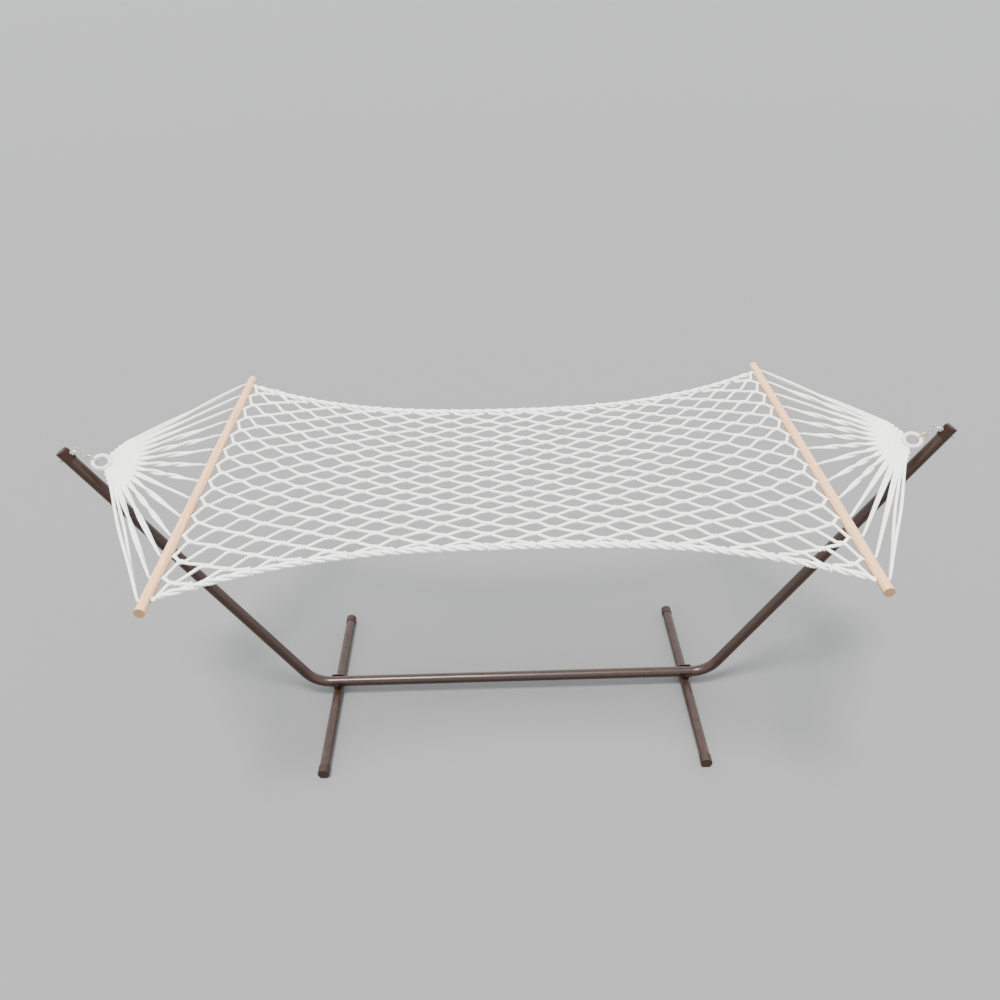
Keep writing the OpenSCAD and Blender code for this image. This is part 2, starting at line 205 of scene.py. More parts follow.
def evenly(path, step):
    """The path resampled at equal distances along itself."""
    s = np.concatenate([[0], np.cumsum(np.linalg.norm(np.diff(path, axis=0), axis=1))])
    at = np.linspace(0, s[-1], max(4, int(round(s[-1] / step)) + 1))
    return np.stack([np.interp(at, s, path[:, k]) for k in range(3)], 1)


SECTION = 12
LOBE_ANGLE = np.arange(SECTION) * 2 * math.pi / SECTION
LOBE = 0.87 + 0.13 * np.cos(3 * LOBE_ANGLE)


def rope_grid(path, across, radius, lay, start=0.0):
    """A three-strand rope along a path, as a grid of points and each ring's distance.

    The section at distance s is turned by 2 pi s / lay, and its radius at angle a is the
    rope's radius times (0.87 + 0.13 cos 3a), so that three ridges wind round the path.
    """
    s = np.concatenate([[0], np.cumsum(np.linalg.norm(np.diff(path, axis=0), axis=1))])
    along = unit(np.gradient(path, axis=0))
    one = unit(np.cross(along, np.broadcast_to(across, path.shape)))
    two = np.cross(along, one)
    turn = LOBE_ANGLE[None, :] + start + (2 * math.pi * s / lay)[:, None]
    r = np.broadcast_to(radius, len(path))[:, None] * LOBE[None, :]
    grid = path[:, None] + (r * np.cos(turn))[..., None] * one[:, None]
    return grid + (r * np.sin(turn))[..., None] * two[:, None], s


class Bundle:
    """Ropes gathered into one mesh: walls of quads, and a flat face over each end."""

    def __init__(self):
        self.points, self.corners, self.totals, self.uvs, self.count = [], [], [], [], 0

    def add(self, grid, s):
        """Adds one rope from its grid of rings and their distances."""
        n, sides = grid.shape[:2]
        i, j = np.meshgrid(np.arange(n - 1), np.arange(sides), indexing="ij")
        nxt = (j + 1) % sides
        quads = np.stack([i * sides + j, i * sides + nxt, (i + 1) * sides + nxt,
                          (i + 1) * sides + j], -1).reshape(-1)
        u = np.stack([j, j + 1, j + 1, j], -1) / sides
        v = np.stack([s[i], s[i], s[i + 1], s[i + 1]], -1)
        ends = np.concatenate([np.arange(sides)[::-1], (n - 1) * sides + np.arange(sides)])
        self.points.append(grid.reshape(-1, 3))
        self.corners += [quads + self.count, ends + self.count]
        self.totals += [np.full((n - 1) * sides, 4), np.full(2, sides)]
        self.uvs += [np.stack([u, v], -1).reshape(-1, 2), np.zeros((2 * sides, 2))]
        self.count += n * sides

    def piece(self, name, material):
        """The finished object, smooth shaded, with its UV map named lay."""
        mesh = bpy.data.meshes.new(name)
        points, loops = np.concatenate(self.points), np.concatenate(self.corners)
        totals = np.concatenate(self.totals)
        mesh.vertices.add(len(points))
        mesh.vertices.foreach_set("co", points.astype(np.float32).ravel())
        mesh.loops.add(len(loops))
        mesh.loops.foreach_set("vertex_index", loops.astype(np.int32))
        mesh.polygons.add(len(totals))
        starts = np.concatenate([[0], np.cumsum(totals)[:-1]])
        mesh.polygons.foreach_set("loop_start", starts.astype(np.int32))
        mesh.update(calc_edges=True)
        mesh.polygons.foreach_set("use_smooth", totals == 4)
        layer = mesh.uv_layers.new(name="lay")
        layer.data.foreach_set("uv", np.concatenate(self.uvs).astype(np.float32).ravel())
        mesh.materials.append(material)
        obj = bpy.data.objects.new(name, mesh)
        bpy.context.scene.collection.objects.link(obj)
        return obj


# ---------- materials ----------


def node_group(name, inputs, outputs):
    """An empty shader group with its sockets, and its input and output nodes."""
    group = bpy.data.node_groups.new(name, "ShaderNodeTree")
    for label, kind, value in inputs:
        group.interface.new_socket(label, in_out="INPUT", socket_type=kind).default_value = value
    for label, kind in outputs:
        group.interface.new_socket(label, in_out="OUTPUT", socket_type=kind)
    return group, group.nodes.new("NodeGroupInput"), group.nodes.new("NodeGroupOutput")


def add_node(tree, kind, links=(), **values):
    """A node with its inputs set by name or place, and links into it from other sockets."""
    node = tree.nodes.new(kind)
    for key, value in values.items():
        if key.startswith("in_"):
            label = key[3:]
            socket = node.inputs[int(label) if label.isdigit() else label.replace("_", " ")]
            socket.default_value = value
        else:
            setattr(node, key, value)
    for source, target in links:
        tree.links.new(source, node.inputs[target])
    return node


def stretched(tree, vector, scale):
    """The vector with each axis multiplied by a scale."""
    return add_node(tree, "ShaderNodeVectorMath", [(vector, 0)], operation="MULTIPLY",
                    in_1=scale).outputs[0]


def remapped(tree, value, low, high, to_low=0.0, to_high=1.0):
    """value taken from low..high to to_low..to_high, and held at its ends."""
    node = add_node(tree, "ShaderNodeMapRange", [(value, 0)], in_1=low, in_2=high,
                    in_3=to_low, in_4=to_high)
    return node.outputs[0]


def mixed(tree, factor, a, b, blend="MIX"):
    """Two colours mixed by a factor. A colour is a socket or four numbers."""
    node = tree.nodes.new("ShaderNodeMix")
    node.data_type, node.blend_type = "RGBA", blend
    for value, target in ((factor, 0), (a, 6), (b, 7)):
        if isinstance(value, bpy.types.NodeSocket):
            tree.links.new(value, node.inputs[target])
        else:
            node.inputs[target].default_value = value
    return node.outputs[2]


def mottle_group():
    """Broad and fine shade differences in a colour, and a mask of the broad ones."""
    group, given, made = node_group(
        "Mottle",
        [("Vector", "NodeSocketVector", (0, 0, 0)), ("Colour", "NodeSocketColor", (1, 1, 1, 1)),
         ("Shade", "NodeSocketColor", (0.5, 0.5, 0.5, 1)), ("Amount", "NodeSocketFloat", 0.5)],
        [("Colour", "NodeSocketColor"), ("Mask", "NodeSocketFloat")])
    broad = add_node(group, "ShaderNodeTexNoise", [(given.outputs[0], 0)], in_Scale=9.0,
                     in_Detail=3.0)
    fine = add_node(group, "ShaderNodeTexNoise", [(given.outputs[0], 0)], in_Scale=160.0,
                    in_Detail=4.0)
    both = add_node(group, "ShaderNodeMath", [(broad.outputs[0], 0), (fine.outputs[0], 1)],
                    operation="MULTIPLY")
    mask = remapped(group, both.outputs[0], 0.12, 0.42)
    part = add_node(group, "ShaderNodeMath", [(mask, 0), (given.outputs[3], 1)],
                    operation="MULTIPLY")
    group.links.new(mixed(group, part.outputs[0], given.outputs[1], given.outputs[2]),
                    made.inputs[0])
    group.links.new(mask, made.inputs[1])
    return group


def dust_group():
    """A mask of what settles on upward faces and gathers unevenly."""
    group, given, made = node_group(
        "Dust",
        [("Vector", "NodeSocketVector", (0, 0, 0)), ("Amount", "NodeSocketFloat", 0.3)],
        [("Mask", "NodeSocketFloat")])
    normal = add_node(group, "ShaderNodeNewGeometry").outputs["Normal"]
    up = add_node(group, "ShaderNodeSeparateXYZ", [(normal, 0)]).outputs[2]
    flat = remapped(group, up, 0.35, 1.0)
    spots = add_node(group, "ShaderNodeTexNoise", [(given.outputs[0], 0)], in_Scale=34.0,
                     in_Detail=6.0, in_Roughness=0.65)
    patch = remapped(group, spots.outputs[0], 0.38, 0.68)
    both = add_node(group, "ShaderNodeMath", [(flat, 0), (patch, 1)], operation="MULTIPLY")
    out = add_node(group, "ShaderNodeMath", [(both.outputs[0], 0), (given.outputs[1], 1)],
                   operation="MULTIPLY")
    group.links.new(out.outputs[0], made.inputs[0])
    return group


def fibre_and_painted_shade_group():
    """Cotton yarns that run along a rope, from its own UV map: a height, a painted shade in the
    low places between the yarns, and a little soil.
    """
    # The Shade input is the colour of both the painted shade between the yarns and the soil.
    group, given, made = node_group(
        "Fibres_and_painted_shade",
        [("Map", "NodeSocketVector", (0, 0, 0)), ("Colour", "NodeSocketColor", (1, 1, 1, 1)),
         ("Shade", "NodeSocketColor", (0.6, 0.6, 0.55, 1))],
        [("Colour", "NodeSocketColor"), ("Height", "NodeSocketFloat")])
    yarn = add_node(group, "ShaderNodeTexNoise",
                    [(stretched(group, given.outputs[0], (26.0, 210.0, 1.0)), 0)],
                    in_Scale=1.0, in_Detail=3.0)
    hair = add_node(group, "ShaderNodeTexNoise",
                    [(stretched(group, given.outputs[0], (60.0, 900.0, 1.0)), 0)],
                    in_Scale=1.0, in_Detail=2.0)
    soil = add_node(group, "ShaderNodeTexNoise",
                    [(stretched(group, given.outputs[0], (0.4, 9.0, 1.0)), 0)],
                    in_Scale=1.0, in_Detail=2.0)
    height = add_node(group, "ShaderNodeMath", [(yarn.outputs[0], 0), (hair.outputs[0], 1)],
                      operation="ADD")
    # Painted shade: the lower the yarn height, the nearer the colour goes to Shade, darkening the
    # hollows between the yarns.
    dark = remapped(group, height.outputs[0], 0.7, 1.15, 0.55, 0.0)
    first = mixed(group, dark, given.outputs[1], given.outputs[2])
    # The soil is real dirt: broad patches mixed towards the same Shade colour.
    worn = remapped(group, soil.outputs[0], 0.5, 0.8, 0.0, 0.35)
    group.links.new(mixed(group, worn, first, given.outputs[2]), made.inputs[0])
    group.links.new(height.outputs[0], made.inputs[1])
    return group


def grain_group():
    """Wood turned from a straight board: long streaks, pores, and rings on the end faces."""
    group, given, made = node_group(
        "Grain",
        [("Vector", "NodeSocketVector", (0, 0, 0)), ("Colour", "NodeSocketColor", (1, 1, 1, 1)),
         ("Dark", "NodeSocketColor", (0.4, 0.2, 0.1, 1)), ("End", "NodeSocketFloat", 0.7)],
        [("Colour", "NodeSocketColor"), ("Height", "NodeSocketFloat"),
         ("End grain", "NodeSocketFloat")])
    vector = given.outputs[0]
    bend = add_node(group, "ShaderNodeTexNoise", [(stretched(group, vector, (9, 1.4, 9)), 0)],
                    in_Scale=1.0, in_Detail=2.0)
    rings = add_node(group, "ShaderNodeTexWave",
                     [(stretched(group, vector, (70.0, 1.6, 26.0)), 0)], wave_type="BANDS",
                     bands_direction="DIAGONAL", in_Scale=1.0, in_Distortion=5.0, in_Detail=3.0,
                     in_Detail_Scale=0.8)
    group.links.new(bend.outputs[0], rings.inputs["Phase Offset"])
    pores = add_node(group, "ShaderNodeTexNoise",
                     [(stretched(group, vector, (900.0, 22.0, 900.0)), 0)],
                     in_Scale=1.0, in_Detail=3.0)
    streak = add_node(group, "ShaderNodeTexNoise",
                      [(stretched(group, vector, (120.0, 3.0, 120.0)), 0)],
                      in_Scale=1.0, in_Detail=4.0)
    tone = add_node(group, "ShaderNodeMath", [(rings.outputs["Fac"], 0), (streak.outputs[0], 1)],
                    operation="MULTIPLY")
    shade = remapped(group, tone.outputs[0], 0.05, 0.65, 0.0, 0.55)
    first = mixed(group, shade, given.outputs[1], given.outputs[2])
    pit = remapped(group, pores.outputs[0], 0.60, 0.72, 0.0, 0.35)
    second = mixed(group, pit, first, given.outputs[2])
    far = add_node(group, "ShaderNodeMath",
                   [(add_node(group, "ShaderNodeSeparateXYZ", [(vector, 0)]).outputs[1], 0)],
                   operation="ABSOLUTE")
    at_end = add_node(group, "ShaderNodeMath", [(far.outputs[0], 0), (given.outputs[3], 1)],
                      operation="GREATER_THAN")
    brown = mixed(group, shade, (0.36, 0.20, 0.10, 1), (0.16, 0.08, 0.04, 1))
    group.links.new(mixed(group, at_end.outputs[0], second, brown), made.inputs[0])
    height = add_node(group, "ShaderNodeMath", [(streak.outputs[0], 0), (pores.outputs[0], 1)],
                      operation="SUBTRACT")
    group.links.new(height.outputs[0], made.inputs[1])
    group.links.new(at_end.outputs[0], made.inputs[2])
    return group


def surface(name, **sockets):
    """A material with a Principled shader, its tree, its shader and its Object coordinates."""
    material = bpy.data.materials.new(name)
    material.use_nodes = True
    tree = material.node_tree
    tree.nodes.clear()
    shader = tree.nodes.new("ShaderNodeBsdfPrincipled")
    out = tree.nodes.new("ShaderNodeOutputMaterial")
    tree.links.new(shader.outputs[0], out.inputs[0])
    for label, value in sockets.items():
        shader.inputs[label.replace("_", " ")].default_value = value
    place = tree.nodes.new("ShaderNodeTexCoord").outputs["Object"]
    return material, tree, shader, place


def placed_group(tree, name, links=(), **values):
    """A shared group placed in a material, with its own values."""
    node = add_node(tree, "ShaderNodeGroup", node_tree=bpy.data.node_groups[name])
    for label, value in values.items():
        node.inputs[label].default_value = value
    for source, target in links:
        tree.links.new(source, node.inputs[target])
    return node


def bumped(tree, shader, height, strength, distance):
    """Links a height to the shader's normal through a Bump node."""
    bump = add_node(tree, "ShaderNodeBump", [(height, "Height")], in_Strength=strength,
                    in_Distance=distance)
    tree.links.new(bump.outputs[0], shader.inputs["Normal"])


def rgba(colour):
    """A colour of three parts with full alpha."""
    return (*colour, 1.0)


def make_tube_paint(colour):
    """Bronze powder coat: orange peel, mottled shade, dust on top and dull scuffs."""
    material, tree, shader, place = surface(
        "bronze_powder_coat", Roughness=0.34, Specular_IOR_Level=0.30, Coat_Weight=0.22,
        Coat_Roughness=0.10)
    shade = tuple(0.62 * c for c in colour)
    mottle = placed_group(tree, "Mottle", [(place, 0)], Colour=rgba(colour), Shade=rgba(shade),
                          Amount=0.7)
    dust = placed_group(tree, "Dust", [(place, 0)], Amount=0.10)
    scuffs = add_node(tree, "ShaderNodeTexNoise",
                      [(stretched(tree, place, (14.0, 60.0, 60.0)), 0)], in_Scale=1.0,
                      in_Detail=8.0, in_Roughness=0.7)
    scuff = remapped(tree, scuffs.outputs[0], 0.62, 0.74, 0.0, 0.5)
    worn = mixed(tree, scuff, mottle.outputs[0], (0.060, 0.030, 0.022, 1))
    colours = mixed(tree, dust.outputs[0], worn, (0.20, 0.15, 0.12, 1))
    tree.links.new(colours, shader.inputs["Base Color"])
    rough = add_node(tree, "ShaderNodeMath", [(mottle.outputs[1], 0), (dust.outputs[0], 1)],
                     operation="ADD")
    tree.links.new(remapped(tree, rough.outputs[0], 0.0, 1.2, 0.24, 0.44),
                   shader.inputs["Roughness"])
    peel = add_node(tree, "ShaderNodeTexNoise", [(place, 0)], in_Scale=420.0, in_Detail=2.0)
    bumped(tree, shader, peel.outputs[0], 0.22, 0.0006)
    return material


def make_cap_plastic(colour):
    """Moulded plastic: a fine sparked texture with rubbed lighter patches."""
    material, tree, shader, place = surface("moulded_plastic", Roughness=0.6,
                                            Specular_IOR_Level=0.3)
    shade = tuple(1.8 * c for c in colour)
    mottle = placed_group(tree, "Mottle", [(place, 0)], Colour=rgba(colour), Shade=rgba(shade),
                          Amount=0.6)
    dust = placed_group(tree, "Dust", [(place, 0)], Amount=0.12)
    tree.links.new(mixed(tree, dust.outputs[0], mottle.outputs[0], (0.16, 0.12, 0.10, 1)),
                   shader.inputs["Base Color"])
    tree.links.new(remapped(tree, mottle.outputs[1], 0.0, 1.0, 0.48, 0.70),
                   shader.inputs["Roughness"])
    spark = add_node(tree, "ShaderNodeTexNoise", [(place, 0)], in_Scale=900.0, in_Detail=2.0)
    bumped(tree, shader, spark.outputs[0], 0.35, 0.0004)
    return material


def make_plating(name, colour, shade, rough):
    """Plated steel: cloudy tone and fine brush lines."""
    material, tree, shader, place = surface(name, Metallic=1.0, Roughness=rough)
    mottle = placed_group(tree, "Mottle", [(place, 0)], Colour=rgba(colour), Shade=rgba(shade),
                          Amount=0.8)
    tree.links.new(mottle.outputs[0], shader.inputs["Base Color"])
    lines = add_node(tree, "ShaderNodeTexNoise",
                     [(stretched(tree, place, (300.0, 2600.0, 300.0)), 0)], in_Scale=1.0,
                     in_Detail=3.0)
    both = add_node(tree, "ShaderNodeMath", [(lines.outputs[0], 0), (mottle.outputs[1], 1)],
                    operation="ADD")
    tree.links.new(remapped(tree, both.outputs[0], 0.3, 1.4, rough - 0.1, rough + 0.2),
                   shader.inputs["Roughness"])
    bumped(tree, shader, lines.outputs[0], 0.15, 0.0003)
    return material


def make_wood(colour):
    """Pale dowel wood with a light oil finish."""
    material, tree, shader, place = surface("dowel_wood", Roughness=0.5, Coat_Weight=0.12,
                                            Coat_Roughness=0.35)
    dark = (0.60 * colour[0], 0.46 * colour[1], 0.36 * colour[2])
    grain = placed_group(tree, "Grain", [(place, 0)], Colour=rgba(colour), Dark=rgba(dark),
                         End=float(BAR_HIGH[1]) - 0.0008)
    tree.links.new(grain.outputs[0], shader.inputs["Base Color"])
    tree.links.new(remapped(tree, grain.outputs[1], -0.3, 0.3, 0.42, 0.62),
                   shader.inputs["Roughness"])
    bumped(tree, shader, grain.outputs[1], 0.30, 0.0006)
    return material


def make_rope(name, colour, map_name="lay"):
    """Cotton rope: yarns along its own UV map, painted shade in the hollows between them, a
    little soil.
    """
    material, tree, shader, _ = surface(name, Roughness=0.88, Sheen_Weight=0.25,
                                        Sheen_Roughness=0.5)
    own_map = add_node(tree, "ShaderNodeUVMap", uv_map=map_name).outputs[0]
    # The colour of the painted shade between the yarns, and also of the soil.
    shade = (0.84 * colour[0], 0.81 * colour[1], 0.74 * colour[2])
    fibres = placed_group(tree, "Fibres_and_painted_shade", [(own_map, 0)], Colour=rgba(colour), Shade=rgba(shade))
    tree.links.new(fibres.outputs[0], shader.inputs["Base Color"])
    tree.links.new(remapped(tree, fibres.outputs[1], 0.6, 1.4, 0.95, 0.80),
                   shader.inputs["Roughness"])
    bumped(tree, shader, fibres.outputs[1], 0.45, 0.0008)
    return material


def material_named(name):
    """A material that an earlier operator made, or an error that says which is missing."""
    material = bpy.data.materials.get(name)
    if material is None:
        raise RuntimeError(f"the material {name} is missing: run the finishes first")
    return material


def finish_nodes(nodes, material):
    """Gives CAD nodes a material through their own slots."""
    for name in nodes:
        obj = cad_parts[name]
        if not obj.material_slots:
            obj.data.materials.append(material)
        for slot in obj.material_slots:
            slot.material = material


# ---------- ropework ----------


def mirrored(path, side):
    """The right end's points taken to one end: x is multiplied by -1 or 1."""
    return path * np.array([side, 1.0, 1.0])


def clew_axes():
    """Unit vectors of the right clew: out towards the bar, across it, and up from it."""
    out = np.array([-math.cos(FAN_SLOPE), 0.0, -math.sin(FAN_SLOPE)])
    flat = np.array([-math.sin(FAN_SLOPE), 0.0, math.cos(FAN_SLOPE)])
    y = np.array([0.0, 1.0, 0.0])
    across = math.cos(RING_TILT) * y + math.sin(RING_TILT) * flat
    up = math.cos(RING_TILT) * flat - math.sin(RING_TILT) * y
    return out, across, up


PATH_STEP = 0.003
HOLE_DEPTH_R = 0.68
HOLE_APART = 0.0032
PAIR_APART = 0.0046
END_PAIR_SPREAD = 0.0055
WEAVE_FIRST = 0.043
WEAVE_STEP = 0.009
WEAVE_ROWS = 6
WEAVE_LIFT = 0.0030
PAIR_TURN = math.radians(2.05)


def polar(r, turn, lift):
    """A point of the clew at distance r from the ring's centre, turned and lifted."""
    out, across, up = clew_axes()
    return (RING + (r * np.cos(turn))[..., None] * out + (r * np.sin(turn))[..., None] * across
            + lift[..., None] * up)


def clew_strand(hole, which, twists, spread, rope):
    """The path of one of the two ropes from the ring to a hole of the bar, and its radius.

    In the woven part it goes out along a ray, and its lift is a cosine of the distance, so
    that it passes over and under the weft. From there the two ropes turn about a straight
    line to the hole, half a turn at a time, at a distance that grows by spread between.
    """
    turn_mid = FAN_HALF * (2 * hole / (HOLES - 1) - 1)
    turn = turn_mid + which * PAIR_TURN
    index = 2 * hole + (which > 0)
    r = np.arange(RING_R + 0.004, WEDGE_END, 0.0028)
    fade = 1 - ease((r - WEDGE_END + 0.012) / 0.012)
    wave = (-1.0) ** index * np.cos(math.pi * (r - WEAVE_FIRST) / WEAVE_STEP)
    woven = polar(r, np.full_like(r, turn), WEAVE_LIFT * fade * wave)
    woven_r = np.minimum(rope.radius * 0.94, 0.62 * r * 2 * PAIR_TURN)
    first = polar(np.array([WEDGE_END]), np.array([turn_mid]), np.zeros(1))[0]
    y = -HOLE_HALF + HOLE_PITCH * hole
    mouth = np.array([BAR[0] + BAR_R + 0.005, y, BAR[2]])
    line = mouth - first
    length = np.linalg.norm(line)
    heading = line / length
    up = clew_axes()[2]
    side = unit(np.cross(up, heading))
    if np.dot(side, clew_axes()[1]) < 0:
        side = -side
    over = unit(np.cross(heading, side))
    t = np.arange(PATH_STEP, length - 0.004, PATH_STEP) / length
    phase = math.pi * (twists + 0.5) * ease(t)
    apart = PAIR_APART * (1 - 0.28 * ease(t)) + spread * np.sin(math.pi * t) ** 2
    lay_off = (np.cos(phase)[:, None] * side + np.sin(phase)[:, None] * over)
    free = first + t[:, None] * line + which * apart[:, None] * lay_off
    sign = which * math.sin(math.pi * (twists + 0.5))
    x = np.arange(BAR[0] + BAR_R + 0.004, BAR[0] - 0.001, -PATH_STEP)
    inside = np.stack([x, np.full_like(x, y), np.full_like(x, BAR[2]) + sign * HOLE_APART], 1)
    free_r = rope.radius * (0.94 - 0.26 * ease((t - 0.9) / 0.1))
    inside_r = np.full(len(x), rope.radius * HOLE_DEPTH_R)
    path = softened(np.concatenate([woven, free, inside]))
    return path, np.concatenate([woven_r, free_r, inside_r])


def weft_path():
    """The weft: arcs round the ring one after another, joined by half circles.

    Its lift is the opposite of the warp's at every crossing.
    """
    edge = FAN_HALF + PAIR_TURN * 1.6
    parts = []
    for row in range(WEAVE_ROWS + 1):
        r0 = WEAVE_FIRST + WEAVE_STEP * row
        way = 1 if row % 2 == 0 else -1
        turn = way * np.linspace(-edge, edge, int(2 * edge * r0 / 0.0024))
        index = (turn + FAN_HALF + PAIR_TURN) / (2 * (FAN_HALF + PAIR_TURN)) * (2 * HOLES - 1)
        lift = -WEAVE_LIFT * (-1.0) ** row * np.cos(math.pi * index)
        parts.append(polar(np.full_like(turn, r0), turn, lift))
        if row < WEAVE_ROWS:
            a = np.linspace(-math.pi / 2, math.pi / 2, 7)[1:-1]
            r = r0 + WEAVE_STEP / 2 * (1 + np.sin(a))
            beyond = way * (edge + 0.0042 * np.cos(a) / r)
            parts.append(polar(r, beyond, np.zeros_like(a)))
    return evenly(softened(np.concatenate(parts), 1), 0.0026)


def ring_wrap_path(turns, cord_r):
    """A helix round the ring: minor angle = turns times major angle, and its outward rays."""
    out, across, up = clew_axes()
    major = np.linspace(0, 2 * math.pi, turns * 16 + 1)
    minor = turns * major
    ray = np.cos(major)[:, None] * out + np.sin(major)[:, None] * across
    outward = np.cos(minor)[:, None] * ray + np.sin(minor)[:, None] * up
    return RING + RING_R * ray + (RING_CORE + cord_r) * outward, outward


CROSSING = 0.20
CROSSING_APART = 0.0047
EDGE_LOOP = 0.0135
STEPS_A_ROW = 24


def net_rows(rope):
    """The x of each row of crossings, holes of both bars included, and its strays."""
    inner = np.linspace(-FIRST_ROW, FIRST_ROW, rope.rows + 1)
    hole_x = BAR[0] - BAR_R - 0.001
    x = np.concatenate([[-hole_x], inner, [hole_x]])
    rng = np.random.default_rng(rope.seed)
    stray = rng.normal(0, 1, (len(x), 2 * HOLES - 1, 2)).clip(-2, 2)
    stray[:2] = stray[-2:] = 0
    return x, stray


def net_strand(column, way, rope, rows, stray):
    """The path of one rope of the net, from a hole of one bar to a hole of the other.

    Its columns alternate between two neighbours. Near a crossing its offset from the
    crossing's middle turns once round, and its partner's is the opposite, so the two wrap
    each other. Between crossings it runs straight.
    """
    count = len(rows)
    row = np.arange(count)
    even = row % 2 == 0
    col = 2 * column + 1 + way * even
    x_at = rows + rope.uneven * stray[row, col, 0]
    y_at = (col / (HOLES - 1) - 1) * bed_half(rows) + 0.45 * rope.uneven * stray[row, col, 1]
    y_at[[0, -1]] = (col[[0, -1]] / (HOLES - 1) - 1) * HOLE_HALF
    edge = (col == 0) | (col == 2 * HOLES - 2)
    sign = np.where(even, -way, way).astype(float)
    off = np.where(edge, EDGE_LOOP, CROSSING_APART)
    off[[0, -1]] = HOLE_APART
    u = np.linspace(0, count - 1, (count - 1) * STEPS_A_ROW + 1)
    low = np.minimum(u.astype(int), count - 2)
    t = u - low
    run = np.clip((t - CROSSING) / (1 - 2 * CROSSING), 0, 1)
    x = (1 - t) * x_at[low] + t * x_at[low + 1]
    y = ((1 - run) * (y_at + sign * off)[low] + run * (y_at + sign * off)[low + 1])
    near = np.round(u).astype(int)
    w = (u - near + CROSSING) / (2 * CROSSING)
    inside = (w > 0) & (w < 1) & (near > 0) & (near < count - 1)
    phase = 2 * math.pi * ease(w)
    radial = (sign * off)[near]
    y = np.where(inside, y_at[near] + radial * np.cos(phase), y)
    z_off = np.where(inside, radial * np.sin(phase), 0.0)
    share = np.clip(y / bed_half(x), -1, 1)
    dip = rope.cross_sag * (1 - share ** 2) * np.clip(1 - (x / FIRST_ROW) ** 2, 0, 1)
    path = softened(np.stack([x, y, bed_z(x) - dip + z_off], 1))
    ends = [np.array([[s * BAR[0], path[k, 1], BAR[2]]]) for s, k in ((-1, 0), (1, -1))]
    path = np.concatenate([ends[0], path, ends[1]])
    squeeze = ease((np.abs(path[:, 0]) - (BAR[0] - BAR_R - 0.010)) / 0.010)
    return path, rope.radius * (1 - 0.32 * squeeze)


EDGE_TURN = 0.13


def edge_strand(side, phase, rope):
    """One of the three ropes of an edge: a slow helix round the edge of the bed."""
    x = np.linspace(-BAR[0], BAR[0], 691)
    taper = 1 - ease((np.abs(x) - FIRST_ROW + 0.012) / 0.045)
    off = 0.0018 + 0.0042 * taper
    turn = 2 * math.pi * x / EDGE_TURN + phase
    y = side * bed_half(x) + off * np.cos(turn)
    path = np.stack([x, y, bed_z(x) + off * np.sin(turn)], 1)
    return path, rope.radius * (0.60 + 0.40 * taper)


def halves(bundles, grid, s):
    """Adds the left and right half of a rope that runs from bar to bar to two bundles."""
    middle = len(grid) // 2
    bundles["left"].add(grid[: middle + 1], s[: middle + 1])
    bundles["right"].add(grid[middle:], s[middle:])


def blend_half(obj, side):
    """Bakes the placement of one half of the bed into its mesh; both halves are treated alike."""
    if side == "left":
        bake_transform(obj)
    else:
        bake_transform(obj)


# ---------- operators ----------


class HAMMOCK_OT_stage(bpy.types.Operator):
    """Camera, floor and light"""

    bl_idname = "hammock.stage"
    bl_label = "Stage"

    def execute(self, context):
        stage = context.scene.hammock_stage
        self.camera(context, stage)
        self.floor(context, stage)
        self.lights(context, stage)
        return {"FINISHED"}

    def camera(self, context, stage):
        """A camera looking down the hammock's near side, turned a little to the left."""
        yaw, pitch, roll = (math.radians(a) for a in (0.311, 34.632, -1.396))
        forward = Vector((math.sin(yaw) * math.cos(pitch), math.cos(yaw) * math.cos(pitch),
                          -math.sin(pitch)))
        right = Vector((math.cos(yaw), -math.sin(yaw), 0))
        up = right.cross(forward)
        right, up = (math.cos(roll) * right + math.sin(roll) * up,
                     math.cos(roll) * up - math.sin(roll) * right)
        data = bpy.data.cameras.new("view")
        data.sensor_width = 36
        data.lens = stage.lens
        data.clip_end = 300
        obj = bpy.data.objects.new("view", data)
        turn = Matrix((right, up, -forward)).transposed().to_4x4()
        obj.matrix_world = Matrix.Translation((-0.044, -2.48, 2.666)) @ turn
        context.scene.collection.objects.link(obj)
        context.scene.camera = obj

    def floor(self, context, stage):
        """One large flat face with a faint mottle."""
        material, tree, shader, place = surface("plain_floor", Roughness=0.85)
        shade = tuple(0.94 * c for c in stage.floor)
        mottle = placed_group(tree, "Mottle", [(place, 0)], Colour=rgba(stage.floor),
                              Shade=rgba(shade), Amount=0.4)
        tree.links.new(mottle.outputs[0], shader.inputs["Base Color"])
        half = stage.floor_size / 2
        mesh = bpy.data.meshes.new("floor")
        mesh.from_pydata([(-half, -half, 0), (half, -half, 0), (half, half, 0),
                          (-half, half, 0)], [], [(0, 1, 2, 3)])
        mesh.materials.append(material)
        obj = bpy.data.objects.new("floor", mesh)
        context.scene.collection.objects.link(obj)

    def lights(self, context, stage):
        """A soft main light from above and slightly to the left, and an even sky."""
        sun = bpy.data.lights.new("main_light", "SUN")
        sun.energy = stage.sun
        sun.angle = math.radians(14)
        sun.color = (1.0, 0.985, 0.96)
        obj = bpy.data.objects.new("main_light", sun)
        obj.rotation_euler = Vector((0.12, 0.25, -1.0)).to_track_quat("-Z", "Y").to_euler()
        context.scene.collection.objects.link(obj)
        world = bpy.data.worlds.new("soft_sky")
        world.use_nodes = True
        back = world.node_tree.nodes["Background"]
        back.inputs[0].default_value = (0.93, 0.96, 1.0, 1)
        back.inputs[1].default_value = stage.sky
        context.scene.world = world


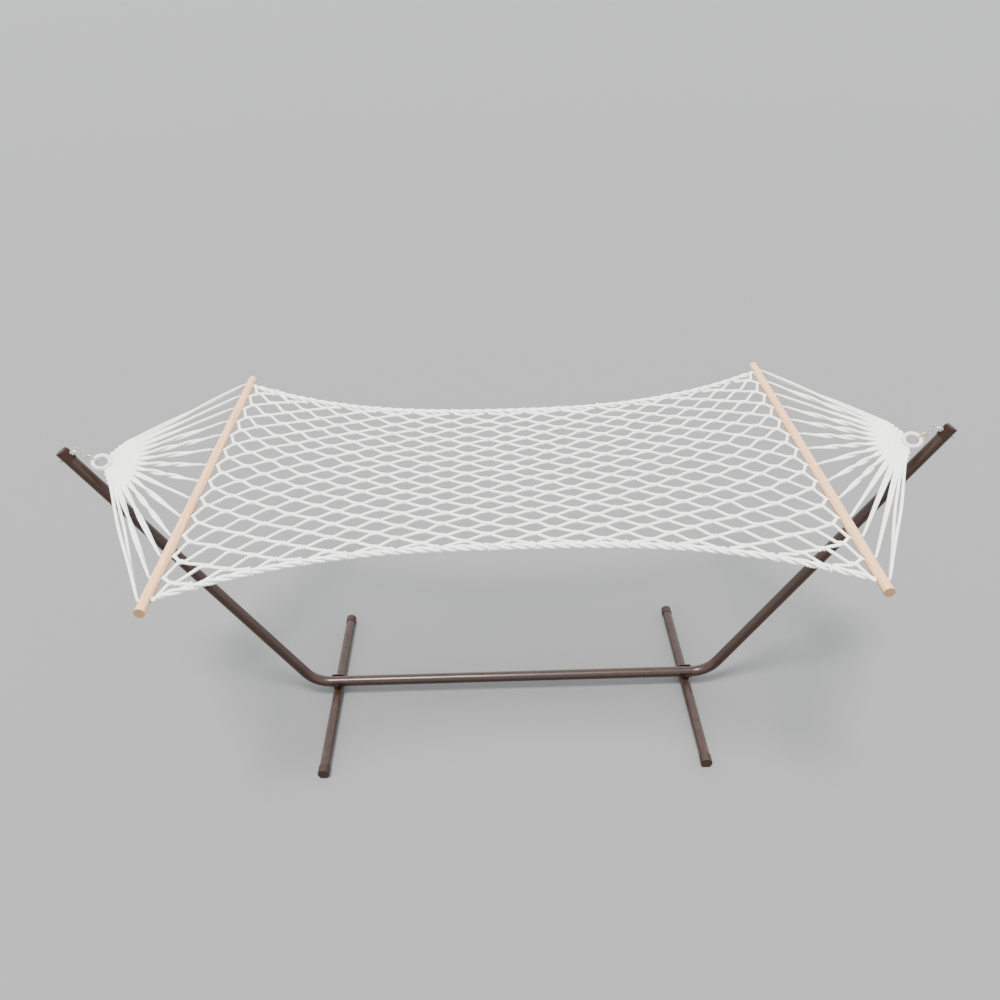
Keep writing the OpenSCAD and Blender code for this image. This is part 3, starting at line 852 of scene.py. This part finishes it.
class HAMMOCK_OT_finishes(bpy.types.Operator):
    """The shared groups and every material"""

    bl_idname = "hammock.finishes"
    bl_label = "Materials"

    def execute(self, context):
        finish = context.scene.hammock_finish
        for make in (mottle_group, dust_group, fibre_and_painted_shade_group, grain_group):
            make()
        make_tube_paint(tuple(finish.tube))
        make_cap_plastic(tuple(finish.cap))
        make_plating("zinc_plate", (0.60, 0.60, 0.58), (0.34, 0.34, 0.34), 0.34)
        make_plating("bronze_plate", (0.060, 0.032, 0.024), (0.035, 0.018, 0.014), 0.42)
        make_plating("dark_steel", (0.110, 0.085, 0.070), (0.050, 0.038, 0.032), 0.40)
        make_plating("yellow_zinc", (0.70, 0.60, 0.30), (0.55, 0.40, 0.22), 0.30)
        make_wood(tuple(finish.wood))
        make_rope("cotton_rope", tuple(finish.rope))
        return {"FINISHED"}


class HAMMOCK_OT_tubes(bpy.types.Operator):
    """Paints the stand's tubes and brackets"""

    bl_idname = "hammock.tubes"
    bl_label = "Tubes"

    def execute(self, context):
        finish_nodes(TUBES, material_named("bronze_powder_coat"))
        return {"FINISHED"}


class HAMMOCK_OT_caps(bpy.types.Operator):
    """Gives the end caps their plastic"""

    bl_idname = "hammock.caps"
    bl_label = "End caps"

    def execute(self, context):
        finish_nodes(CAPS, material_named("moulded_plastic"))
        return {"FINISHED"}


class HAMMOCK_OT_hardware(bpy.types.Operator):
    """Plates the bolts, plates, chains and quick links"""

    bl_idname = "hammock.hardware"
    bl_label = "Hardware"

    def execute(self, context):
        finish_nodes(EYES + CHAINS, material_named("zinc_plate"))
        finish_nodes(PLATES, material_named("bronze_plate"))
        finish_nodes(JOINT_FIXINGS, material_named("dark_steel"))
        finish_nodes(QUICK_LINKS, material_named("yellow_zinc"))
        return {"FINISHED"}


class HAMMOCK_OT_bars(bpy.types.Operator):
    """Gives the spreader bars their wood"""

    bl_idname = "hammock.bars"
    bl_label = "Spreader bars"

    def execute(self, context):
        finish_nodes(BARS, material_named("dowel_wood"))
        return {"FINISHED"}


class HAMMOCK_OT_ring_wraps(bpy.types.Operator):
    """Winds cord round the two rings"""

    bl_idname = "hammock.ring_wraps"
    bl_label = "Ring wrapping"

    def execute(self, context):
        rope = context.scene.hammock_rope
        path, outward = ring_wrap_path(rope.ring_turns, RING_CORD_R)
        for side, way in SIDES.items():
            bundle = Bundle()
            bundle.add(*rope_grid(mirrored(path, way), mirrored(outward, way),
                                  RING_CORD_R, RING_CORD_LAY))
            obj = bundle.piece(f"{side}_ring_cord", material_named("cotton_rope"))
            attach(obj, f"{side}_end")
            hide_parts(f"{side}_ring_wrap")
        return {"FINISHED"}


class HAMMOCK_OT_clews(bpy.types.Operator):
    """Weaves the wedges at the rings and lays the cords to the bars"""

    bl_idname = "hammock.clews"
    bl_label = "Clews"

    def execute(self, context):
        rope = context.scene.hammock_rope
        rope_material = material_named("cotton_rope")
        weft = weft_path()
        for side, way in SIDES.items():
            rng = np.random.default_rng(rope.seed + (side == "right"))
            up = mirrored(clew_axes()[2], way)
            cords, weave = Bundle(), Bundle()
            for hole in range(HOLES):
                at_end = hole in (0, HOLES - 1)
                twists = 0 if at_end else int(rng.integers(0, 3))
                spread = END_PAIR_SPREAD if at_end else float(rng.uniform(0, 0.0008))
                for which in (-1, 1):
                    path, radius = clew_strand(hole, which, twists, spread, rope)
                    cords.add(*rope_grid(mirrored(path, way), up, radius, rope.lay,
                                         float(rng.uniform(0, 6))))
            weave.add(*rope_grid(mirrored(weft, way), up, WEFT_R, WEFT_LAY))
            for bundle, name, node in ((cords, "clew_ropes", "clew_cords"),
                                       (weave, "clew_weft", "clew_wedge")):
                obj = bundle.piece(f"{side}_{name}", rope_material)
                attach(obj, f"{side}_end")
                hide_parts(f"{side}_{node}")
        return {"FINISHED"}


class HAMMOCK_OT_net(bpy.types.Operator):
    """Makes the net, whose ropes run from bar to bar and wrap their neighbours"""

    bl_idname = "hammock.net"
    bl_label = "Net"

    def execute(self, context):
        rope = context.scene.hammock_rope
        rows, stray = net_rows(rope)
        rng = np.random.default_rng(rope.seed + 5)
        for part, columns in (("front", range(0, 7)), ("back", range(7, HOLES - 1))):
            bundles = {side: Bundle() for side in SIDES}
            for column in columns:
                for way in (-1, 1):
                    path, radius = net_strand(column, way, rope, rows, stray)
                    grid, s = rope_grid(path, (0, 0, 1), radius, rope.lay,
                                        float(rng.uniform(0, 6)))
                    halves(bundles, grid, s)
            for side, bundle in bundles.items():
                obj = bundle.piece(f"{side}_{part}_net", material_named("cotton_rope"))
                blend_half(obj, side)
                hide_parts("rope_net", f"{side}_head_rope")
        return {"FINISHED"}


class HAMMOCK_OT_edges(bpy.types.Operator):
    """Lays three ropes together along each edge of the net"""

    bl_idname = "hammock.edges"
    bl_label = "Edge ropes"

    def execute(self, context):
        rope = context.scene.hammock_rope
        for part, way in (("front", -1), ("back", 1)):
            bundles = {side: Bundle() for side in SIDES}
            for k in range(3):
                path, radius = edge_strand(way, 2 * math.pi * k / 3, rope)
                halves(bundles, *rope_grid(path, (0, 0, 1), radius, rope.lay, k))
            for side, bundle in bundles.items():
                obj = bundle.piece(f"{side}_{part}_edge", material_named("cotton_rope"))
                blend_half(obj, side)
                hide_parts(f"{part}_edge_rope")
        return {"FINISHED"}


STEPS = (
    HAMMOCK_OT_finishes, HAMMOCK_OT_stage, HAMMOCK_OT_clews, HAMMOCK_OT_ring_wraps,
    HAMMOCK_OT_net, HAMMOCK_OT_edges, HAMMOCK_OT_tubes, HAMMOCK_OT_caps,
    HAMMOCK_OT_hardware, HAMMOCK_OT_bars,
)


class HAMMOCK_PT_panel(bpy.types.Panel):
    """Lists the steps"""

    bl_idname = "HAMMOCK_PT_panel"
    bl_label = "Rope hammock"
    bl_space_type = "VIEW_3D"
    bl_region_type = "UI"
    bl_category = "Hammock"

    def draw(self, context):
        for step in STEPS:
            self.layout.operator(step.bl_idname)
        for group in ("hammock_rope", "hammock_finish", "hammock_stage"):
            values = getattr(context.scene, group)
            for name in values.__annotations__:
                self.layout.prop(values, name)


SETTINGS = {
    "hammock_rope": HAMMOCK_PG_rope,
    "hammock_finish": HAMMOCK_PG_finish,
    "hammock_stage": HAMMOCK_PG_stage,
}


def register():
    for cls in (*SETTINGS.values(), *STEPS, HAMMOCK_PT_panel):
        bpy.utils.register_class(cls)
    for name, cls in SETTINGS.items():
        setattr(bpy.types.Scene, name, bpy.props.PointerProperty(type=cls))


def unregister():
    for name in SETTINGS:
        delattr(bpy.types.Scene, name)
    for cls in (HAMMOCK_PT_panel, *reversed(STEPS), *SETTINGS.values()):
        bpy.utils.unregister_class(cls)


def main():
    """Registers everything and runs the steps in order."""
    register()
    for step in STEPS:
        family, name = step.bl_idname.split(".")
        getattr(getattr(bpy.ops, family), name)()


if __name__ == "__main__":
    main()
